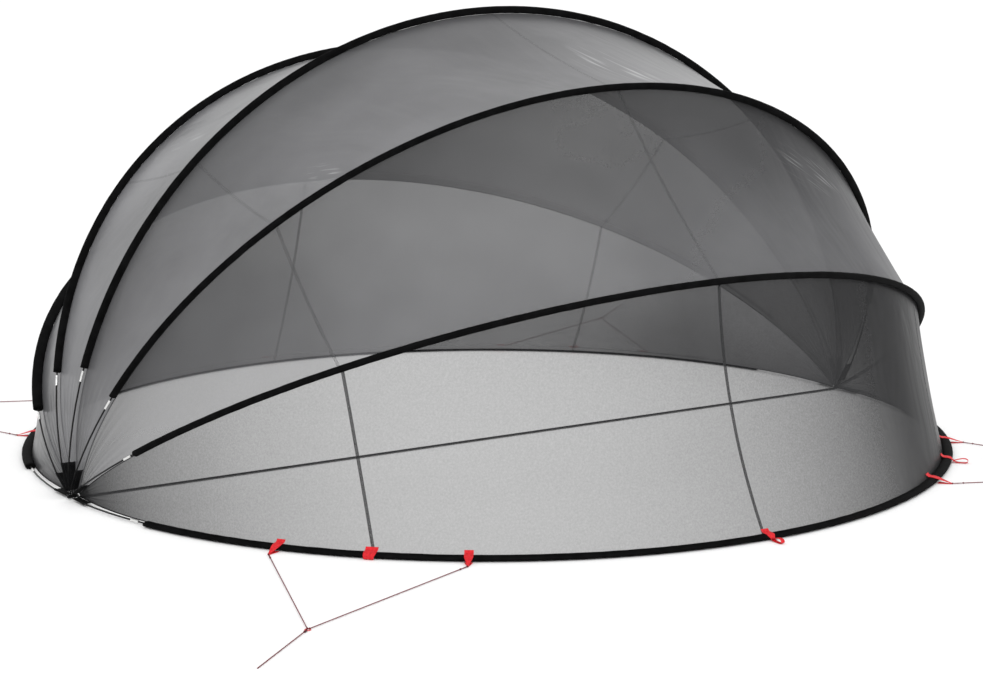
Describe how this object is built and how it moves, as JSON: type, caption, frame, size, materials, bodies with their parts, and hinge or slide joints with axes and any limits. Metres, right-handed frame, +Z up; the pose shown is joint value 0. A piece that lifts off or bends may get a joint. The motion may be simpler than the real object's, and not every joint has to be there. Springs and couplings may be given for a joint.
{
  "type": "folding pool dome",
  "caption": "Folding dome cover of tinted film on bowed poles that fan out from two ground hubs, with red ground loops and guy lines.",
  "frame": {"origin": "centre of the ground ring, on the ground", "axes": "+X along the hinge line from the left hub to the right hub, -Y to the front half that lifts, +Z up"},
  "size_m": [6.0158, 5.9744, 2.3782],
  "materials": {
    "pole": "black glass-fibre rod with a bare metal ferrule near each end",
    "sleeve": "black woven polyester sleeve",
    "socket": "black webbing pocket, stiffened",
    "pin": "plain steel",
    "film": "translucent grey film, slightly glossy",
    "strap": "dark webbing",
    "webbing": "red webbing and cord"
  },
  "bodies": {
    "root": {"ring_back_pole": "pole", "ring_back_sleeve": "sleeve", "ring_back_socket_left": "socket", "ring_back_socket_right": "socket", "hinge_pin_left": "pin", "hinge_pin_right": "pin", "floor_strap": "strap", "guy_line_back_left": "webbing", "guy_line_back_right": "webbing", "loop_tab_back_left": "webbing", "loop_tab_back_right": "webbing", "loop_tab_back": "webbing"},
    "hoop_e": {"hoop_e_pole": "pole", "hoop_e_sleeve": "sleeve", "hoop_e_socket_left": "socket", "hoop_e_socket_right": "socket", "film_hoop_e_to_ring_back": "film"},
    "hoop_d": {"hoop_d_pole": "pole", "hoop_d_sleeve": "sleeve", "hoop_d_socket_left": "socket", "hoop_d_socket_right": "socket", "film_hoop_d_to_hoop_e": "film"},
    "hoop_c": {"hoop_c_pole": "pole", "hoop_c_sleeve": "sleeve", "hoop_c_socket_left": "socket", "hoop_c_socket_right": "socket", "film_hoop_c_to_hoop_d": "film"},
    "hoop_b": {"hoop_b_pole": "pole", "hoop_b_sleeve": "sleeve", "hoop_b_socket_left": "socket", "hoop_b_socket_right": "socket", "film_hoop_b_to_hoop_c": "film"},
    "hoop_a": {"hoop_a_pole": "pole", "hoop_a_sleeve": "sleeve", "hoop_a_socket_left": "socket", "hoop_a_socket_right": "socket", "film_hoop_a_to_hoop_b": "film"},
    "ring_front": {"ring_front_pole": "pole", "ring_front_sleeve": "sleeve", "ring_front_socket_left": "socket", "ring_front_socket_right": "socket", "film_ring_front_to_hoop_a": "film", "guy_line_front_left": "webbing", "guy_line_front_right": "webbing", "loop_tab_front_left": "webbing", "loop_tab_front_right": "webbing", "loop_tab_front": "webbing"}
  },
  "joints": [
    {"name": "fold_hoop_e", "type": "hinge", "parent": "root", "child": "hoop_e", "pos_m": [0, 0, 0.015], "axis": [-1, 0, 0], "range_deg": [0, 23.5], "deforming": ["film_hoop_e_to_ring_back"]},
    {"name": "fold_hoop_d", "type": "hinge", "parent": "hoop_e", "child": "hoop_d", "pos_m": [0, 0, 0.015], "axis": [-1, 0, 0], "range_deg": [0, 23.5], "deforming": ["film_hoop_d_to_hoop_e"]},
    {"name": "fold_hoop_c", "type": "hinge", "parent": "hoop_d", "child": "hoop_c", "pos_m": [0, 0, 0.015], "axis": [-1, 0, 0], "range_deg": [0, 23.5], "deforming": ["film_hoop_c_to_hoop_d"]},
    {"name": "fold_hoop_b", "type": "hinge", "parent": "hoop_c", "child": "hoop_b", "pos_m": [0, 0, 0.015], "axis": [-1, 0, 0], "range_deg": [0, 23.5], "deforming": ["film_hoop_b_to_hoop_c"]},
    {"name": "fold_hoop_a", "type": "hinge", "parent": "hoop_b", "child": "hoop_a", "pos_m": [0, 0, 0.015], "axis": [-1, 0, 0], "range_deg": [0, 23.5], "deforming": ["film_hoop_a_to_hoop_b"]},
    {"name": "fold_ring_front", "type": "hinge", "parent": "hoop_a", "child": "ring_front", "pos_m": [0, 0, 0.015], "axis": [-1, 0, 0], "range_deg": [0, 23.5], "deforming": ["film_ring_front_to_hoop_a"]}
  ],
  "couplings": [
    {"joint": "fold_hoop_d", "follows": "fold_hoop_e", "ratio": 1},
    {"joint": "fold_hoop_c", "follows": "fold_hoop_e", "ratio": 1},
    {"joint": "fold_hoop_b", "follows": "fold_hoop_e", "ratio": 1},
    {"joint": "fold_hoop_a", "follows": "fold_hoop_e", "ratio": 1},
    {"joint": "fold_ring_front", "follows": "fold_hoop_e", "ratio": 1}
  ]
}
